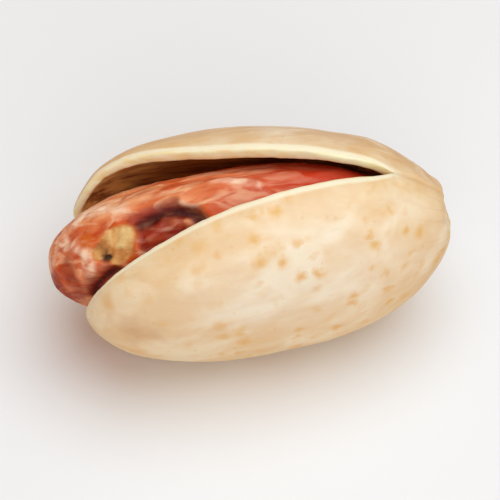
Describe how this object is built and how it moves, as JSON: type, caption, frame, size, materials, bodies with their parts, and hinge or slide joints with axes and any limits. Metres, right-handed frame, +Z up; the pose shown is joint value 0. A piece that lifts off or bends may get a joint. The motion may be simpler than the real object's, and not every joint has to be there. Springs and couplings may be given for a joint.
{
  "type": "pistachio in shell",
  "caption": "Roasted pistachio nut in its naturally split shell, lying on the lower seam with the kernel showing between the valves and past their tips.",
  "frame": {"origin": "on the surface the nut lies on, under the centre of its bounding box", "axes": "+X from the open tips to the stem end, along the nut; +Z up, out of the upper split; the shell's seam lies in the XZ plane"},
  "size_m": [0.0218, 0.0116, 0.013],
  "materials": {
    "shell": "satin",
    "kernel_skin": "satin"
  },
  "bodies": {
    "root": {"shell": "shell", "kernel": "kernel_skin"}
  },
  "joints": []
}
